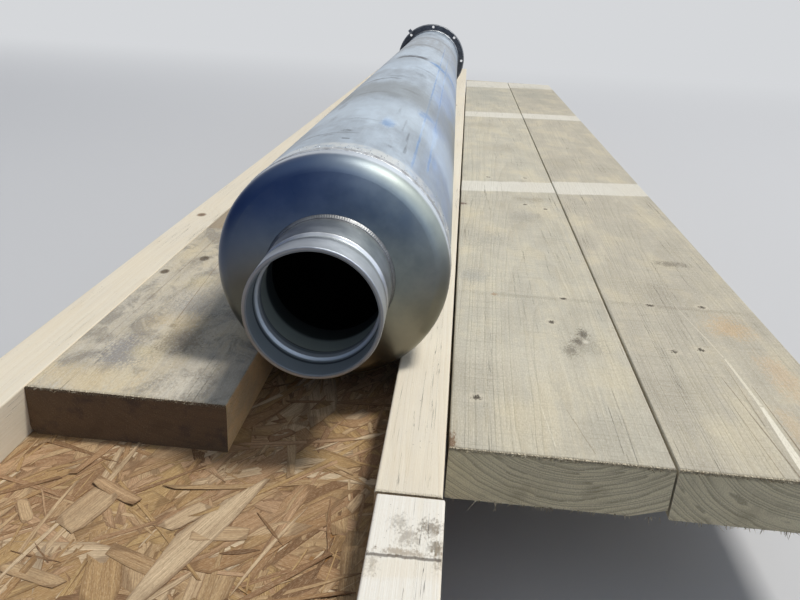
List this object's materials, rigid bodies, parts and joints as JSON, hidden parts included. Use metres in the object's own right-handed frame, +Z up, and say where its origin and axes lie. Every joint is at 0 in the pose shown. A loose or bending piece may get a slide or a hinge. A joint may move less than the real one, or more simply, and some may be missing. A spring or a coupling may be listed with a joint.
{
  "type": "scraped surface heat exchanger barrel on a timber rack",
  "caption": "Long stainless heat exchanger barrel with a dished head and grooved pipe port at one end and a drilled flange at the other, lying on a low timber rack.",
  "frame": {"origin": "centre of the grooved port's end face, on the barrel's axis", "axes": "+Y along the barrel's axis from the port to the flange, +Z up, +X to the right seen from the port"},
  "size_m": [0.6307, 2.8841, 0.3095],
  "materials": {
    "mill_steel": "satin mill finish with scuffs and layout marks",
    "polished_head": "polished, softly mirrored",
    "port_steel": "brushed round the pipe",
    "weld": "rough bead, heat tinted",
    "dark_flange": "black paint, satin",
    "strand_board": "raw strand board, weathered",
    "bearer_timber": "rough sawn",
    "pale_pine": "fresh planed pine",
    "weathered_pine": "weathered pine"
  },
  "bodies": {
    "root": {"barrel_shell": "mill_steel", "bearer_1": "bearer_timber", "bearer_2": "bearer_timber", "bearer_3": "bearer_timber", "bearer_4": "bearer_timber", "bearer_5": "bearer_timber", "bearer_6": "bearer_timber", "bearer_7": "bearer_timber", "deck_sheet_left": "strand_board", "deck_sheet_rear": "strand_board", "deck_sheet_right": "strand_board", "far_flange": "dark_flange", "flange_lug": "dark_flange", "flange_weld": "weld", "grooved_port": "port_steel", "head_weld": "weld", "left_block_far": "weathered_pine", "left_block_near": "weathered_pine", "left_rail": "pale_pine", "near_head": "polished_head", "port_weld": "weld", "right_plank_inner": "weathered_pine", "right_plank_outer": "weathered_pine", "right_rail_front": "pale_pine", "right_rail_rear": "pale_pine"}
  },
  "joints": []
}
